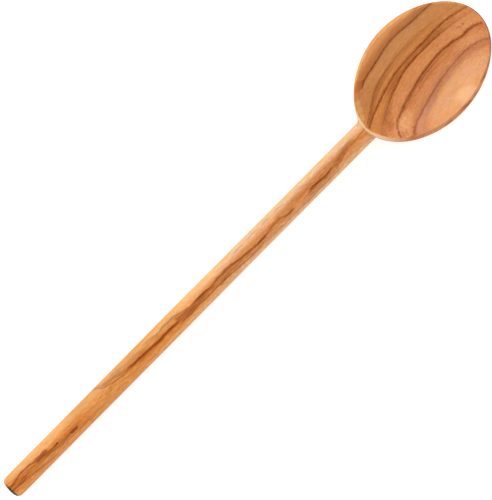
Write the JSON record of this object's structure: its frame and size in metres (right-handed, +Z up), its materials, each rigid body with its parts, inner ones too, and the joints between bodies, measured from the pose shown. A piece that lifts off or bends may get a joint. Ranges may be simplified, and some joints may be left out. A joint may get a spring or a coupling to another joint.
{
  "type": "wooden spoon",
  "caption": "Olive-wood cook's spoon: an egg-shaped hollow bowl with a softly rounded rim, tenoned to a long straight round handle with a rounded butt.",
  "frame": {"origin": "middle of the spoon's bounding box, on the table that the spoon lies on", "axes": "+X to the tip of the bowl, away from the butt; +Y across the bowl; +Z up, out of the hollow"},
  "size_m": [0.33, 0.059, 0.0157],
  "materials": {
    "olive_wood": "satin"
  },
  "bodies": {
    "root": {"bowl": "olive_wood", "handle": "olive_wood"}
  },
  "joints": []
}
